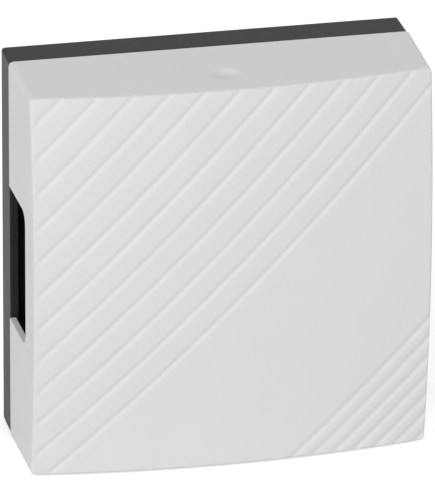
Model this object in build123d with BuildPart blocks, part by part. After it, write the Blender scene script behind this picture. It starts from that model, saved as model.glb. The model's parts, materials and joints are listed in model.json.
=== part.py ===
from build123d import *
from math import asin, atan, cos, degrees, hypot, radians, sin, tan
import os

# Wall chime box: a white domed cover over a dark base, with a two-tone striker mechanism inside.
# Millimetres. +X is right seen from the front, -Y is out of the wall, +Z is up.
# The origin is the middle of the back face, on the wall. "Depth" is the distance from the wall.

# Cover
cover_width = 120.0
cover_height = 120.0
corner_depth = 28.1  # side wall, from the rear edge to a front corner
crown = 10.0  # how far the middle of the front stands before its corners
side_draft = 0.55  # how far each side draws in on its way forward
cover_wall = 1.8
upright_round = 1.2
front_round = 1.0
front_facets = 2  # the rounding is this many narrow facets
parting_gap = 0.8  # shadow gap between the cover and the base

# Grooves across the front, measured along the falling diagonal from the middle of the front
groove_depth = 0.45
groove_slope = 15.0  # degrees
groove_floor = 0.3  # width of the flat at the bottom
groove_rim = 0.3  # how far the cut goes on out of the face
upper_first = 3.36
upper_pitch = 7.36
upper_count = 12
lower_first = 54.13
lower_pitch = 4.59
lower_count = 7

# Sound notches in the side walls
notch_height = 42.2
notch_depth = 21.4
notch_round = 4.0

# Thumb mark in the top and what lies under it
dimple_diameter = 8.0
dimple_sink = 0.7
dimple_set = 20.5  # from the cover's rear edge
pusher_diameter = 5.0
pusher_height = 2.5
catch_width = 12.0
catch_height = 1.5
catch_length = 2.2
catch_set = 13.2  # from the cover's rear edge

# Locating ribs on the cover's bottom wall
guide_place = 34.0
guide_width = 2.0
guide_height = 2.4
guide_length = 9.0

# Base
base_depth = 11.6
base_inset = 0.35  # how far the base stands back from the cover's sides
base_round = 1.0
base_rim = 2.4
base_floor = 2.0
rim_edge = 0.4
lip_gap = 0.3  # between the lip and the cover's wall
lip_wall = 2.0
lip_reach = 3.2  # past the cover's rear edge
lip_corner = 7.0  # the lip leaves this much free at each corner
lip_side_gap = 3.0  # and this much past each end of a sound notch

# Latch tongue that stands up from the base behind the thumb mark
latch_width = 12.0
latch_thick = 1.6
latch_drop = 3.1  # from the cover's wall to the tongue
latch_tip_set = 23.0  # from the cover's rear edge
latch_nose_height = 1.2
latch_nose_set = 16.1  # from the cover's rear edge
latch_nose_length = 1.8
latch_side_gap = 1.5
latch_foot = 2.6

# Wall fixing and cable entry
screw_spacing = 60.0
screw_drop = 30.0  # below the middle
screw_hole = 4.5
screw_boss_diameter = 10.0
screw_boss_height = 2.0
keyhole_room = 4.3  # from the yoke's upper ear to the keyhole
keyhole_head = 8.4
keyhole_slot = 4.4
keyhole_length = 7.0
entry_width = 22.0
entry_height = 9.0
entry_room = 0.5  # from the yoke's lower ear to the collar round the entry
entry_round = 3.0
entry_collar = 1.6
entry_collar_height = 2.0

# Electromagnet, its axis along X
axis_depth = 20.0
bobbin_length = 34.0
bobbin_flange_width = 24.0
bobbin_flange_wall = 1.5
bobbin_flange_chamfer = 2.0
bobbin_barrel_diameter = 10.4
bobbin_lug_width = 4.0
bobbin_lug_height = 3.0
bobbin_lug_depth = 5.0
bobbin_lug_back = 8.0  # from the axis back to the middle of the lug
winding_diameter = 20.4
winding_sides = 32
tape_thick = 0.3
tape_width = 20.0
end_play = 0.05
yoke_plate = 2.0
yoke_width = 20.0
yoke_bend = 1.5
yoke_ear_width = 10.0
yoke_ear_reach = 6.5  # from the plate's edge to the screw
yoke_screw = 2.8
yoke_screw_head = 5.6
yoke_screw_head_height = 1.9
screw_slot = 0.9
screw_slot_sink = 0.8
screw_slack = 0.1
solder_pin = 0.9
solder_pin_length = 4.0

# Plunger and strikers
plunger_diameter = 8.0
plunger_slack = 0.08
plunger_left = 26.0  # from the middle of the coil to the core's left end, at rest
plunger_right = 22.0
striker_left_gap = 1.5  # from the left striker to its bar, at rest
striker_right_gap = 8.9
striker_neck = 7.6
striker_shaft = 6.0
striker_end_taper = 1.2
spigot_diameter = 4.0
spigot_length = 8.0
spigot_slack = 0.02
core_chamfer = 0.6
striker_shoulder = 2.0
collar_diameter = 12.0
collar_thick = 1.5
collar_set = 7.0  # from the core's left end to the collar

# Return spring
spring_wire = 0.6
spring_mean = 9.2
spring_turns = 5
spring_sides = 4
spring_seat_gap = 0.05

# Tone bars and their hangers
bar_inset = 11.0  # from the cover's side to the middle of a bar
bar_thick = 2.5
bar_width = 22.0
bar_low_room = 10.0  # from each end of the low bar to the cover's outside
bar_high_room = 15.0
bar_corner = 1.5
nodal_share = 0.224  # of a bar's length, from each end to the point that stands still
grommet_bore = 4.1
grommet_waist_diameter = 6.4
grommet_flange_diameter = 9.0
grommet_flange_wall = 1.25
grommet_slack = 0.05
pillar_thick = 4.0
pillar_width = 9.0
pillar_shoulder_width = 2.5  # cut off each upper corner of a pillar
gusset_reach = 8.0
gusset_height = 13.0
gusset_wall = 2.0
stub_diameter = 4.0
stub_end = 1.4  # past the clip
clip_size = 7.5
clip_thick = 0.6
clip_slack = 0.02

# Terminal block
block_room = 1.3  # from the collar round the cable entry to the block
block_width = 29.0
block_height = 9.0
block_depth = 11.0
block_seat = 2.0
block_edge = 0.6
pole_pitch = 9.0
pole_count = 3
clamp_size = 5.0
clamp_length = 7.2
clamp_slack = 0.1
clamp_back = 5.5  # from the block's back to the clamp's middle
clamp_mouth = 2.6
terminal_screw = 3.0
terminal_screw_length = 5.0
terminal_funnel = 3.8
block_screw = 2.2
block_screw_head = 3.4
block_screw_head_height = 1.6
block_screw_bite = 2.6

# Coil leads
lead_diameter = 1.4
lead_gap = 0.2  # solder between a pin and its lead
lead_sides = 6
lead_in_clamp = 3.0
lead_bend_share = 0.45  # of the shorter run beside a bend
lead_spread = 1.5
lead_hook = 0.6
lead_drop_shares = (0.333, 0.69, 0.886)  # of the way down from the pins to the block, at the bends

overrun = 1.0  # how far a cut goes past the face that it cuts
small_sides = 16  # of the small round parts, which keep few facets

# Worked out from the sizes above
cover_rear = base_depth + parting_gap
cover_front = cover_rear + corner_depth + crown
front_width = cover_width - 2 * side_draft
front_height = cover_height - 2 * side_draft
corner_reach = hypot(front_width, front_height) / 2
dome_radius = (corner_reach**2 + crown**2) / (2 * crown)
dome_centre = Vector(0, dome_radius - cover_front, 0)
draft = atan(side_draft / corner_depth)
forward = Vector(0, -1, 0)
groove_axis = Vector(1, 0, -1).normalized()
base_width = cover_width - 2 * base_inset
base_height = cover_height - 2 * base_inset
lip_width = cover_width - 2 * (cover_wall + lip_gap)
lip_height = cover_height - 2 * (cover_wall + lip_gap)
lip_top = cover_rear + lip_reach
bore = plunger_diameter + 2 * plunger_slack
yoke_inside = bobbin_length + 2 * end_play
yoke_outside = yoke_inside + 2 * yoke_plate
yoke_front = axis_depth + bobbin_flange_width / 2
yoke_inner_back = axis_depth - bobbin_flange_width / 2 - end_play
yoke_back = yoke_inner_back - yoke_plate
ear_place = yoke_width / 2 + yoke_ear_reach
entry_drop = ear_place + yoke_ear_width / 2 + entry_room + entry_collar + entry_height / 2
block_drop = entry_drop + entry_height / 2 + entry_collar + block_room + block_height / 2
keyhole_rise = ear_place + yoke_ear_width / 2 + keyhole_room + keyhole_head / 2
bar_place = cover_width / 2 - bar_inset
bar_low_length = cover_height - 2 * bar_low_room
bar_high_length = cover_height - 2 * bar_high_room
bar_inner = bar_place - bar_thick / 2
grommet_half = bar_thick / 2 + grommet_flange_wall
pillar_face = bar_place - grommet_half - grommet_slack
stub_length = 2 * (grommet_half + grommet_slack) + clip_thick + grommet_slack + stub_end
collar_place = plunger_left + collar_set
lug_place = bobbin_length / 2 - bobbin_lug_width / 2
lug_back = axis_depth - bobbin_lug_back
lug_bottom = bobbin_flange_width / 2 + bobbin_lug_height
block_back = base_floor + block_seat
block_front = block_back + block_depth
clamp_depth = block_back + clamp_back


def ahead(depth):
    """Plane parallel to the wall at this depth, facing forward, with Z up."""
    return Plane.XZ.offset(depth)


def inner_top(depth):
    """Height of the inside of the cover's top wall at this depth."""
    return cover_height / 2 - cover_wall - (depth - cover_rear) * tan(draft)


def coil_plane(x):
    """Plane across the coil's axis at x, its origin on the axis, with local x to the wall and y up."""
    return Plane(origin=(x, -axis_depth, 0), x_dir=(0, 1, 0), z_dir=(1, 0, 0))


# Plane through the coil's axis, with local x along the axis and y up
coil_section = Plane(origin=(0, -axis_depth, 0), x_dir=(1, 0, 0), z_dir=(0, -1, 0))
coil_axis = Axis((0, -axis_depth, 0), (1, 0, 0))


def nodal_height(length):
    """Height above the middle of the point that stands still in a sounding bar of this length."""
    return length / 2 - nodal_share * length


# The two bars: which side each stands on, its length and its name
bars = [(-1, bar_low_length, "tone_bar_low"), (1, bar_high_length, "tone_bar_high")]

# The grooves' places along the falling diagonal
groove_places = [upper_first - upper_pitch * n for n in range(upper_count)]
groove_places += [lower_first + lower_pitch * n for n in range(lower_count)]

# Each groove follows a circle round an axis through the dome's centre, along the falling diagonal,
# so one turn of all sections about that axis cuts every groove to the same depth along its length.
groove_sweep = 2 * degrees(asin((corner_reach + overrun) / dome_radius))
groove_start = forward.rotate(Axis((0, 0, 0), groove_axis), -groove_sweep / 2)
groove_sheet = Plane(origin=dome_centre, x_dir=groove_axis, z_dir=groove_axis.cross(groove_start))


def groove_plane(place):
    """Plane of one groove's section: its origin on the dome, local x along the face and y out of it."""
    tilt = degrees(asin(place / dome_radius))
    return groove_sheet * Location((0, 0, 0), (0, 0, -tilt)) * Location((0, dome_radius, 0))


# A groove's section: a narrow flat between two sloping sides
groove_reach = groove_floor / 2 + (groove_depth + groove_rim) / tan(radians(groove_slope))
with BuildSketch() as groove_section:
    Polygon(
        (-groove_floor / 2, -groove_depth),
        (groove_floor / 2, -groove_depth),
        (groove_reach, groove_rim),
        (-groove_reach, groove_rim),
        align=None,
    )


def small_round(diameter, mode=Mode.ADD):
    """Outline of a small round part, its corners on the circle."""
    RegularPolygon(diameter / 2, small_sides, mode=mode)


def small_bore(diameter, mode=Mode.SUBTRACT):
    """Outline of the hole round a small part, its sides touching the circle."""
    RegularPolygon(diameter / 2, small_sides, major_radius=False, mode=mode)


def drawn_in(size):
    """Corners of a section that draws in on its way forward from the cover's rear edge."""
    rear = size / 2
    front = rear - (cover_front - cover_rear) * tan(draft)
    return [(-rear, -cover_rear), (rear, -cover_rear), (front, -cover_front), (-front, -cover_front)]


def domed_box(width, height, radius):
    """Box with drafted sides, cut off in front by the dome of this radius."""
    with BuildPart() as box:
        with BuildSketch(Plane.XY):
            Polygon(*drawn_in(width), align=None)
        extrude(amount=height, both=True)
        with BuildSketch(Plane.YZ):
            Polygon(*[(y, z) for z, y in drawn_in(height)], align=None)
        extrude(amount=width, both=True, mode=Mode.INTERSECT)
        with Locations(dome_centre):
            Sphere(radius, mode=Mode.INTERSECT)
    return box.part


inside = domed_box(cover_width - 2 * cover_wall, cover_height - 2 * cover_wall, dome_radius - cover_wall)


def edge_sliver(out, half):
    """What rounding takes off one front edge, where the side wall that faces out meets the dome.

    A ball that rolls inside that wall and the dome follows a circle round an axis through the dome's
    centre, square to the wall, so the sliver outside the ball is a short turn about that axis.
    """
    square = out * cos(draft) + forward * sin(draft)
    wall = (out * half + forward * cover_rear - dome_centre).dot(square)
    ball_reach = dome_radius - front_round
    ball = Vector(wall - front_round, (ball_reach**2 - (wall - front_round) ** 2) ** 0.5)
    round_by = Vector(1, 0).get_angle(ball)
    turns = [round_by * n / front_facets for n in range(front_facets + 1)]
    facets = [ball + Vector(front_round, 0).rotate(Axis.Z, angle) for angle in turns]
    turn = 2 * degrees(asin((corner_reach + overrun) / dome_radius))
    start = (forward * cos(draft) - out * sin(draft)).rotate(Axis((0, 0, 0), square), -turn / 2)
    with BuildPart() as sliver:
        with BuildSketch(Plane(origin=dome_centre, x_dir=square, z_dir=square.cross(start))):
            with BuildLine():
                above = facets[-1] + Vector(0, overrun)
                outside = facets[0] + Vector(overrun, 0)
                Polyline(*facets, above, (outside.X, above.Y), outside, close=True)
            make_face()
        revolve(axis=Axis(dome_centre, square), revolution_arc=turn)
    return sliver.part


slivers = [edge_sliver(Vector(side, 0, 0), cover_width / 2) for side in (-1, 1)]
slivers += [edge_sliver(Vector(0, 0, side), cover_height / 2) for side in (-1, 1)]

with BuildPart() as cover:
    add(domed_box(cover_width, cover_height, dome_radius))
    # The four edges that run forward are the shortest ones
    fillet(cover.edges().group_by(SortBy.LENGTH)[0], upright_round)
    add(slivers, mode=Mode.SUBTRACT)

    # Grooves, all cut by one turn about the falling diagonal
    for place in groove_places:
        with BuildSketch(groove_plane(place)):
            add(groove_section.sketch)
    revolve(axis=Axis(dome_centre, groove_axis), revolution_arc=groove_sweep, mode=Mode.SUBTRACT)

    # Hollow
    add(inside, mode=Mode.SUBTRACT)

    # Sound notches, open to the rear edge
    with BuildSketch(Plane.YZ):
        with Locations((-cover_rear, 0)):
            RectangleRounded(2 * notch_depth, notch_height, notch_round)
    extrude(amount=cover_width / 2 + overrun, both=True, mode=Mode.SUBTRACT)

    # Thumb mark in the top
    dish_radius = ((dimple_diameter / 2) ** 2 + dimple_sink**2) / (2 * dimple_sink)
    dimple_depth = cover_rear + dimple_set
    dish_height = inner_top(dimple_depth) + cover_wall - dimple_sink + dish_radius
    with Locations((0, -dimple_depth, dish_height)):
        Sphere(dish_radius, mode=Mode.SUBTRACT)

    # Pusher under the thumb mark
    with BuildSketch(Plane.XY.offset(inner_top(dimple_depth) - pusher_height)):
        with Locations((0, -dimple_depth)):
            Circle(pusher_diameter / 2)
    extrude(amount=pusher_height + cover_wall / 2)

    # Catch behind the nose of the latch tongue
    catch_back = cover_rear + catch_set
    catch_front = catch_back + catch_length
    with BuildSketch(Plane.YZ):
        with BuildLine():
            Polyline(
                (-catch_back, inner_top(catch_back) + cover_wall / 2),
                (-catch_back, inner_top(catch_back)),
                (-catch_front + catch_length / 2, inner_top(catch_front) - catch_height),
                (-catch_front, inner_top(catch_front) - catch_height),
                (-catch_front, inner_top(catch_front) + cover_wall / 2),
                close=True,
            )
        make_face()
    extrude(amount=catch_width / 2, both=True)

    # Locating ribs on the bottom wall, which drop into the base's lip
    rib_height = guide_height + cover_wall / 2
    with BuildSketch(ahead(cover_rear)):
        with Locations(*[(side * guide_place, -cover_height / 2 + cover_wall / 2) for side in (-1, 1)]):
            Rectangle(guide_width, rib_height, align=(Align.CENTER, Align.MIN))
    extrude(amount=guide_length)

with BuildPart() as base:
    # Tray
    with BuildSketch(ahead(0)):
        RectangleRounded(base_width, base_height, base_round)
    extrude(amount=base_depth)
    chamfer(base.faces().sort_by(Axis.Y)[0].edges(), rim_edge)
    with BuildSketch(ahead(base_floor)):
        Rectangle(base_width - 2 * base_rim, base_height - 2 * base_rim)
    extrude(amount=base_depth, mode=Mode.SUBTRACT)

    # Lip that centres the cover, left out at the corners, the sound notches, the latch and the ribs
    with BuildSketch(ahead(base_floor)):
        Rectangle(lip_width, lip_height)
        Rectangle(lip_width - 2 * lip_wall, lip_height - 2 * lip_wall, mode=Mode.SUBTRACT)
        with GridLocations(lip_width, lip_height, 2, 2):
            Rectangle(2 * lip_corner, 2 * lip_corner, mode=Mode.SUBTRACT)
        Rectangle(cover_width, notch_height + 2 * lip_side_gap, mode=Mode.SUBTRACT)
        with Locations((0, lip_height / 2)):
            Rectangle(latch_width + 2 * latch_side_gap, 2 * (lip_wall + lip_gap), mode=Mode.SUBTRACT)
        with Locations(*[(side * guide_place, -lip_height / 2) for side in (-1, 1)]):
            Rectangle(guide_width + 2 * lip_gap, 2 * (lip_wall + lip_gap), mode=Mode.SUBTRACT)
    extrude(amount=lip_top - base_floor)

    # Latch tongue with its nose
    tongue_top = inner_top(cover_rear + latch_tip_set) - latch_drop
    tongue_tip = cover_rear + latch_tip_set
    nose_back = cover_rear + latch_nose_set
    nose_front = nose_back + latch_nose_length
    with BuildSketch(Plane.YZ):
        with BuildLine():
            Polyline(
                (-base_floor, tongue_top - latch_thick - latch_foot),
                (-base_floor - latch_foot, tongue_top - latch_thick),
                (-tongue_tip, tongue_top - latch_thick),
                (-tongue_tip, tongue_top),
                (-nose_front, tongue_top),
                (-nose_back - latch_nose_length / 4, tongue_top + latch_nose_height),
                (-nose_back, tongue_top + latch_nose_height),
                (-nose_back, tongue_top),
                (-base_floor, tongue_top),
                close=True,
            )
        make_face()
    extrude(amount=latch_width / 2, both=True)

    # Pillars that carry the tone bars, each with a stub pin and a gusset
    for side, length, name in bars:
        face = Plane.YZ.offset(side * pillar_face)
        heights = [end * nodal_height(length) for end in (-1, 1)]
        with BuildSketch(face):
            for height in heights:
                shoulder = pillar_width / 2 - pillar_shoulder_width
                top = axis_depth + pillar_width / 2
                Polygon(
                    (-base_floor, height - pillar_width / 2),
                    (pillar_shoulder_width - top, height - pillar_width / 2),
                    (-top, height - shoulder),
                    (-top, height + shoulder),
                    (pillar_shoulder_width - top, height + pillar_width / 2),
                    (-base_floor, height + pillar_width / 2),
                    align=None,
                )
        extrude(amount=-side * pillar_thick)
        with BuildSketch(face):
            for height in heights:
                with Locations((-axis_depth, height)):
                    small_round(stub_diameter)
        extrude(amount=side * stub_length)
        inner = side * (pillar_face - pillar_thick)
        for height in heights:
            with BuildSketch(Plane.XY.offset(height - gusset_wall / 2)):
                with BuildLine():
                    Polyline(
                        (inner, -base_floor),
                        (inner, -base_floor - gusset_height),
                        (inner - side * gusset_reach, -base_floor),
                        close=True,
                    )
                make_face()
            extrude(amount=gusset_wall)

    # Bosses under the yoke's ears, with pilot holes
    with BuildSketch(ahead(base_floor)):
        with Locations((0, ear_place), (0, -ear_place)):
            small_round(yoke_ear_width)
    extrude(amount=yoke_back - base_floor)
    # Rails under the ends of the yoke's plate
    with BuildSketch(ahead(base_floor)):
        with GridLocations(yoke_inside - 2 * yoke_plate, 0, 2, 1):
            Rectangle(yoke_plate, yoke_width)
    extrude(amount=yoke_back - base_floor)
    # Seat of the terminal block
    with BuildSketch(ahead(base_floor)):
        with Locations((0, -block_drop)):
            Rectangle(block_width - 2 * block_edge, block_height - 2 * block_edge)
    extrude(amount=block_seat)
    # Bosses round the wall screws and a collar round the cable entry
    with BuildSketch(ahead(base_floor)):
        with Locations((-screw_spacing / 2, -screw_drop), (screw_spacing / 2, -screw_drop)):
            small_round(screw_boss_diameter)
    extrude(amount=screw_boss_height)
    with BuildSketch(ahead(base_floor)):
        with Locations((0, -entry_drop)):
            Rectangle(entry_width + 2 * entry_collar, entry_height + 2 * entry_collar)
        chamfer(vertices(), entry_round)
    extrude(amount=entry_collar_height)

    # Wall screw holes, keyhole and cable entry
    with BuildSketch(ahead(-overrun)):
        with Locations((-screw_spacing / 2, -screw_drop), (screw_spacing / 2, -screw_drop)):
            Circle(screw_hole / 2)
        with Locations((0, keyhole_rise)):
            Circle(keyhole_head / 2)
            Rectangle(keyhole_slot, keyhole_length, align=(Align.CENTER, Align.MIN))
        with Locations((0, keyhole_rise + keyhole_length)):
            Circle(keyhole_slot / 2)
        with Locations((0, -entry_drop)):
            RectangleRounded(entry_width, entry_height, entry_round)
    extrude(amount=base_depth, mode=Mode.SUBTRACT)

    # Pilot holes for the yoke's and the block's screws
    with BuildSketch(ahead(base_floor)):
        with Locations((0, ear_place), (0, -ear_place)):
            small_bore(yoke_screw + 2 * screw_slack, mode=Mode.ADD)
    extrude(amount=yoke_back - base_floor + overrun, mode=Mode.SUBTRACT)
    with BuildSketch(ahead(block_back - block_screw_bite - screw_slack)):
        with Locations((0, -block_drop)):
            with GridLocations(pole_pitch, 0, 2, 1):
                small_bore(block_screw + 2 * screw_slack, mode=Mode.ADD)
    extrude(amount=block_screw_bite + overrun, mode=Mode.SUBTRACT)

with BuildPart() as coil_bobbin:
    for start in (-bobbin_length / 2, bobbin_length / 2 - bobbin_flange_wall):
        with BuildSketch(coil_plane(start)):
            Rectangle(bobbin_flange_width, bobbin_flange_width)
            chamfer(vertices(), bobbin_flange_chamfer)
        extrude(amount=bobbin_flange_wall)
    with BuildSketch(coil_plane(-yoke_outside / 2)):
        Circle(bobbin_barrel_diameter / 2)
    extrude(amount=yoke_outside)
    # Lugs for the solder pins, under the flanges
    with BuildSketch(Plane.XY.offset(-lug_bottom)):
        for side in (-1, 1):
            with Locations((side * lug_place, -lug_back)):
                Rectangle(bobbin_lug_width, bobbin_lug_depth)
    extrude(amount=bobbin_lug_height + bobbin_flange_wall)
    with BuildSketch(coil_plane(-yoke_outside / 2 - overrun)):
        Circle(bore / 2)
    extrude(amount=yoke_outside + 2 * overrun, mode=Mode.SUBTRACT)
    with BuildSketch(Plane.XY.offset(-lug_bottom - overrun)):
        for side in (-1, 1):
            with Locations((side * lug_place, -lug_back)):
                Rectangle(solder_pin, solder_pin)
    extrude(amount=overrun + bobbin_lug_height, mode=Mode.SUBTRACT)

with BuildPart() as coil_winding:
    winding_length = bobbin_length - 2 * bobbin_flange_wall - 2 * end_play
    with BuildSketch(coil_plane(-winding_length / 2)):
        RegularPolygon(winding_diameter / 2, winding_sides)
        Circle(bobbin_barrel_diameter / 2 + end_play, mode=Mode.SUBTRACT)
    extrude(amount=winding_length)

with BuildPart() as coil_tape:
    with BuildSketch(coil_plane(-tape_width / 2)):
        RegularPolygon(winding_diameter / 2 + end_play + tape_thick, winding_sides)
        RegularPolygon(winding_diameter / 2 + end_play, winding_sides, mode=Mode.SUBTRACT)
    extrude(amount=tape_width)

with BuildPart() as bobbin_pins:
    with BuildSketch(Plane.XY.offset(-lug_bottom - solder_pin_length + lead_gap)):
        for side in (-1, 1):
            with Locations((side * lug_place, -lug_back)):
                Rectangle(solder_pin, solder_pin)
    extrude(amount=solder_pin_length - lead_gap + bobbin_lug_height)

with BuildPart() as magnet_yoke:
    # Bent strip: a back plate and two upright cheeks
    with BuildSketch(Plane.XY.offset(-yoke_width / 2)):
        with Locations((0, -yoke_back)):
            Rectangle(yoke_outside, yoke_front - yoke_back, align=(Align.CENTER, Align.MAX))
        with Locations((0, -yoke_inner_back)):
            Rectangle(
                yoke_inside, yoke_front, align=(Align.CENTER, Align.MAX), mode=Mode.SUBTRACT
            )
    extrude(amount=yoke_width)
    fillet(
        magnet_yoke.edges().filter_by(Axis.Z).group_by(Axis.Y)[-1],
        yoke_bend,
    )
    # Ears for the screws
    with BuildSketch(ahead(yoke_back)):
        Rectangle(yoke_ear_width, 2 * ear_place)
        with Locations((0, ear_place), (0, -ear_place)):
            small_round(yoke_ear_width)
            small_bore(yoke_screw + 2 * screw_slack)
    extrude(amount=yoke_plate)
    # Holes for the bobbin's necks
    with BuildSketch(coil_plane(-yoke_outside / 2 - overrun)):
        Circle(bobbin_barrel_diameter / 2 + end_play)
    extrude(amount=yoke_outside + 2 * overrun, mode=Mode.SUBTRACT)


def slotted_screw(place, head_back, head, head_height, shank, shank_length):
    """Slotted screw driven towards the wall, the underside of its head at the depth head_back."""
    with BuildPart() as screw:
        with BuildSketch(ahead(head_back - shank_length)):
            with Locations(place):
                small_round(shank)
        extrude(amount=shank_length)
        with BuildSketch(ahead(head_back)):
            with Locations(place):
                small_round(head)
        extrude(amount=head_height)
        with BuildSketch(ahead(head_back + head_height - screw_slot_sink)):
            with Locations(place):
                Rectangle(head + overrun, screw_slot)
        extrude(amount=screw_slot_sink + overrun, mode=Mode.SUBTRACT)
    return screw.part


yoke_screw_bite = yoke_inner_back - base_floor - screw_slack
yoke_screw_sizes = (yoke_screw_head, yoke_screw_head_height, yoke_screw, yoke_screw_bite)
with BuildPart() as yoke_screws:
    for rise in (-ear_place, ear_place):
        add(slotted_screw((0, rise), yoke_inner_back, *yoke_screw_sizes))

with BuildPart() as plunger_core:
    with BuildSketch(coil_plane(-plunger_left)):
        Circle(plunger_diameter / 2)
    extrude(amount=plunger_left + plunger_right)
    chamfer(plunger_core.edges().filter_by(GeomType.CIRCLE), core_chamfer)
    # Blind holes for the strikers' spigots
    with BuildSketch(coil_plane(-plunger_left)):
        Circle(spigot_diameter / 2 + spigot_slack)
    extrude(amount=spigot_length + spigot_slack, mode=Mode.SUBTRACT)
    with BuildSketch(coil_plane(plunger_right)):
        Circle(spigot_diameter / 2 + spigot_slack)
    extrude(amount=-spigot_length - spigot_slack, mode=Mode.SUBTRACT)


def striker(side, root, tip, collar):
    """Striker turned about the coil's axis, from the core's end at root out to its round tip."""
    steps = [(root - spigot_length, 0), (root - spigot_length, spigot_diameter / 2)]
    steps += [(root, spigot_diameter / 2), (root, striker_neck / 2)]
    if collar:
        steps += [(root + collar_set, striker_neck / 2), (root + collar_set, collar_diameter / 2)]
        steps += [(root + collar_set + collar_thick, collar_diameter / 2)]
        steps += [(root + collar_set + collar_thick, striker_shaft / 2)]
    else:
        steps += [(root + striker_shoulder, striker_neck / 2), (root + striker_shoulder, striker_shaft / 2)]
    steps += [(tip - striker_end_taper, striker_shaft / 2)]
    steps += [(tip, striker_shaft / 2 - striker_end_taper), (tip, 0)]
    steps = [(side * along, out) for along, out in steps]
    with BuildPart() as tip_part:
        with BuildSketch(coil_section):
            with BuildLine():
                Polyline(*steps, close=True)
            make_face()
        revolve(axis=coil_axis)
    return tip_part.part


striker_tip_left = striker(-1, plunger_left, bar_inner - striker_left_gap, collar=True)
striker_tip_right = striker(1, plunger_right, bar_inner - striker_right_gap, collar=False)

# Spring from the neck of the bobbin to the collar of the left striker
spring_start = yoke_outside / 2 + spring_seat_gap + spring_wire / 2
spring_end = collar_place - spring_seat_gap - spring_wire / 2
spring_pitch = (spring_end - spring_start) / spring_turns
with BuildPart() as return_spring:
    with BuildLine():
        coil = Helix(
            pitch=spring_pitch,
            height=spring_end - spring_start,
            radius=spring_mean / 2,
            center=(-spring_start, -axis_depth, 0),
            direction=(-1, 0, 0),
        )
    with BuildSketch(Plane(origin=coil @ 0, z_dir=coil % 0)):
        RegularPolygon(spring_wire / 2, spring_sides)
    sweep(is_frenet=True)

hangers = {}
tone_bars = {}
for side, length, name in bars:
    heights = [-nodal_height(length), nodal_height(length)]
    with BuildPart() as tone_bar:
        with BuildSketch(Plane.YZ.offset(side * bar_inner)):
            with Locations((-axis_depth, 0)):
                RectangleRounded(bar_width, length, bar_corner)
            with Locations(*[(-axis_depth, height) for height in heights]):
                small_bore(grommet_waist_diameter + 2 * grommet_slack)
        extrude(amount=side * bar_thick)
    tone_bars[name] = tone_bar.part
    with BuildPart() as grommets:
        holes = [(-axis_depth, height) for height in heights]
        with BuildSketch(Plane.YZ.offset(side * (bar_place - grommet_half))):
            with Locations(*holes):
                small_round(grommet_flange_diameter)
        extrude(amount=side * 2 * grommet_half)
        # Waist that sits in the bar's hole, and the bore that takes the stub pin
        waist = bar_thick / 2 + grommet_slack
        with BuildSketch(Plane.YZ.offset(side * (bar_place - waist))):
            with Locations(*holes):
                small_round(grommet_flange_diameter + overrun)
                small_round(grommet_waist_diameter, mode=Mode.SUBTRACT)
        extrude(amount=side * 2 * waist, mode=Mode.SUBTRACT)
        with BuildSketch(Plane.YZ.offset(side * (bar_place - grommet_half))):
            with Locations(*holes):
                small_bore(grommet_bore, mode=Mode.ADD)
        extrude(amount=side * 2 * grommet_half, mode=Mode.SUBTRACT)
    hangers[side] = grommets.part

with BuildPart() as retaining_washers:
    for side, length, name in bars:
        start = bar_place + grommet_half + grommet_slack
        with BuildSketch(Plane.YZ.offset(side * start)):
            with Locations(*[(-axis_depth, end * nodal_height(length)) for end in (-1, 1)]):
                Rectangle(clip_size, clip_size)
                small_bore(stub_diameter + 2 * clip_slack)
        extrude(amount=side * clip_thick)

# Places of the poles along the terminal block
poles = [(n - (pole_count - 1) / 2) * pole_pitch for n in range(pole_count)]

with BuildPart() as terminal_block:
    with BuildSketch(ahead(block_back)):
        with Locations((0, -block_drop)):
            Rectangle(block_width, block_height)
    extrude(amount=block_depth)
    chamfer(terminal_block.edges().filter_by(Axis.Y), block_edge)
    # Channels for the clamps, through from top to bottom
    with BuildSketch(Plane.XY.offset(-block_drop - block_height / 2 - overrun)):
        with Locations(*[(x, -clamp_depth) for x in poles]):
            Rectangle(clamp_size + 2 * clamp_slack, clamp_size + 2 * clamp_slack)
    extrude(amount=block_height + 2 * overrun, mode=Mode.SUBTRACT)
    # Funnels for the screws
    with BuildSketch(ahead(clamp_depth)):
        with Locations(*[(x, -block_drop) for x in poles]):
            small_round(terminal_funnel)
    extrude(amount=block_depth, mode=Mode.SUBTRACT)
    # Holes for the screws that hold the block
    with BuildSketch(ahead(block_back - overrun)):
        with Locations((0, -block_drop)):
            with GridLocations(pole_pitch, 0, 2, 1):
                small_bore(block_screw + 2 * screw_slack, mode=Mode.ADD)
    extrude(amount=block_depth + 2 * overrun, mode=Mode.SUBTRACT)

with BuildPart() as terminal_clamps:
    with BuildSketch(Plane.XY.offset(-block_drop - clamp_length / 2)):
        with Locations(*[(x, -clamp_depth) for x in poles]):
            Rectangle(clamp_size, clamp_size)
            Rectangle(clamp_mouth, clamp_mouth, mode=Mode.SUBTRACT)
    extrude(amount=clamp_length)
    with BuildSketch(ahead(clamp_depth)):
        with Locations(*[(x, -block_drop) for x in poles]):
            small_bore(terminal_screw + 2 * screw_slack, mode=Mode.ADD)
    extrude(amount=clamp_size, mode=Mode.SUBTRACT)

# Grub screws that press the leads down in the clamps
with BuildPart() as terminal_screws:
    with BuildSketch(ahead(clamp_depth + lead_diameter / 2 + screw_slack)):
        with Locations(*[(x, -block_drop) for x in poles]):
            small_round(terminal_screw)
    extrude(amount=terminal_screw_length)
    with BuildSketch(ahead(clamp_depth + lead_diameter / 2 + terminal_screw_length - screw_slot_sink)):
        with Locations(*[(x, -block_drop) for x in poles]):
            Rectangle(terminal_screw + overrun, screw_slot)
    extrude(amount=screw_slot_sink + overrun, mode=Mode.SUBTRACT)

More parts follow.
